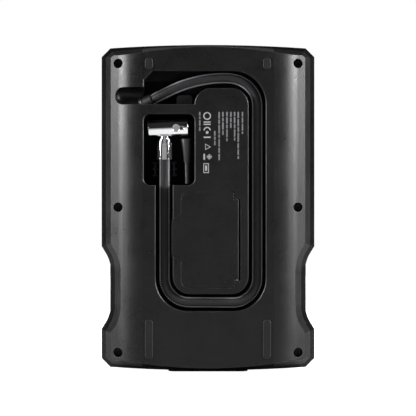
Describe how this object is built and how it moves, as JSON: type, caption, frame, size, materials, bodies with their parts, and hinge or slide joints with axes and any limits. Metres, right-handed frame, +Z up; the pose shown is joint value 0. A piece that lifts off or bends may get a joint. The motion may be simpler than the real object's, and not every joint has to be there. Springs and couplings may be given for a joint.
{
  "type": "portable tire inflator",
  "caption": "Cordless hand-held tire inflator with a braided hose stowed in a back channel, a valve chuck, an adapter compartment and a working piston pump inside.",
  "frame": {"origin": "under the middle of the body, on the surface it stands on", "axes": "+Z up, +Y towards the display, -Y towards the back cover with the hose, +X to the right seen from the back"},
  "size_m": [0.15, 0.0628, 0.23],
  "materials": {
    "housing": "fine textured satin",
    "housing_side": "satin",
    "rubber": "matt",
    "braid": "woven",
    "chrome": "chrome plated",
    "steel": "brushed",
    "black_screw": "black oxide",
    "seal": "matt",
    "brass": "turned",
    "nozzle": "satin",
    "lens": "clear",
    "board": "solder mask",
    "lcd": "gloss",
    "window": "smoked clear",
    "button_grey": "satin",
    "button_red": "satin",
    "cell": "satin",
    "aluminium": "die cast",
    "motor_can": "zinc plated",
    "gear": "satin",
    "silicone": "translucent"
  },
  "bodies": {
    "body": {"back_cover": "housing", "mid_frame": "housing_side", "left_grip": "rubber", "right_grip": "rubber", "base_pad": "rubber", "lamp_lens": "lens", "lamp_board": "board", "charge_port": "steel", "front_cover": "housing", "display_window": "window", "button_mat": "silicone", "main_board": "board", "board_screws": "steel", "lcd_module": "lcd", "back_feet": "rubber", "cover_screws": "black_screw", "door_hinge_pin": "steel", "adapter_tray": "housing_side", "ball_needle": "chrome", "presta_adapter": "brass", "hose": "braid", "strain_relief": "rubber", "hose_gland": "black_screw", "hose_ferrule": "chrome", "chuck_stem": "chrome", "chuck_body": "chrome", "bleed_pin": "black_screw", "chuck_seal": "seal", "valve_depressor": "brass", "battery_cells": "cell", "battery_holder": "housing_side", "motor": "motor_can", "gear_axle": "steel", "gearbox_frame": "aluminium", "motor_screws": "steel", "cylinder": "aluminium", "head_gasket": "seal", "cylinder_head": "aluminium", "reed_valve": "steel", "head_bolts": "steel", "air_tube": "silicone"},
    "door": {"compartment_door": "housing"},
    "nozzle": {"nozzle_adapter": "nozzle"},
    "port_flap": {"port_cover": "rubber"},
    "power_key": {"power_button": "button_red"},
    "plus_key": {"plus_button": "button_grey"},
    "minus_key": {"minus_button": "button_grey"},
    "mode_key": {"mode_button": "button_grey"},
    "light_key": {"light_button": "button_grey"},
    "crank": {"crank_gear": "gear", "crank_pin": "steel"},
    "pinion": {"motor_pinion": "steel"},
    "piston_group": {"piston": "aluminium", "piston_seal": "seal", "wrist_pin": "steel"},
    "rod": {"con_rod": "aluminium", "big_end_bush": "brass"}
  },
  "joints": [
    {"name": "door_hinge", "type": "hinge", "parent": "body", "child": "door", "pos_m": [0.0201, -0.0294, 0.09305], "axis": [0, 0, 1], "range_deg": [0, 95]},
    {"name": "nozzle_lift", "type": "slide", "parent": "body", "child": "nozzle", "axis": [0, -1, 0], "range_m": [0, 0.025]},
    {"name": "port_flap_hinge", "type": "hinge", "parent": "body", "child": "port_flap", "pos_m": [0.074, 0.001, 0.13], "axis": [0, 1, 0], "range_deg": [0, 95]},
    {"name": "power_key_press", "type": "slide", "parent": "body", "child": "power_key", "axis": [0, -1, 0], "range_m": [0, 0.0008], "stiffness_N_per_m": 400},
    {"name": "plus_key_press", "type": "slide", "parent": "body", "child": "plus_key", "axis": [0, -1, 0], "range_m": [0, 0.0008], "stiffness_N_per_m": 400},
    {"name": "minus_key_press", "type": "slide", "parent": "body", "child": "minus_key", "axis": [0, -1, 0], "range_m": [0, 0.0008], "stiffness_N_per_m": 400},
    {"name": "mode_key_press", "type": "slide", "parent": "body", "child": "mode_key", "axis": [0, -1, 0], "range_m": [0, 0.0008], "stiffness_N_per_m": 400},
    {"name": "light_key_press", "type": "slide", "parent": "body", "child": "light_key", "axis": [0, -1, 0], "range_m": [0, 0.0008], "stiffness_N_per_m": 400},
    {"name": "crank_spin", "type": "hinge", "parent": "body", "child": "crank", "pos_m": [0.003, 0.007, 0.058], "axis": [1, 0, 0], "continuous": true},
    {"name": "pinion_spin", "type": "hinge", "parent": "body", "child": "pinion", "pos_m": [0.003, 0.007, 0.03795], "axis": [1, 0, 0], "continuous": true},
    {"name": "piston_stroke", "type": "slide", "parent": "body", "child": "piston_group", "axis": [0, 0, 1], "range_m": [0, 0.013]},
    {"name": "rod_swing", "type": "hinge", "parent": "piston_group", "child": "rod", "pos_m": [0.0111, 0.007, 0.0815], "axis": [1, 0, 0], "range_deg": [-13, 13]}
  ],
  "couplings": [
    {"joint": "pinion_spin", "follows": "crank_spin", "ratio": -4}
  ]
}
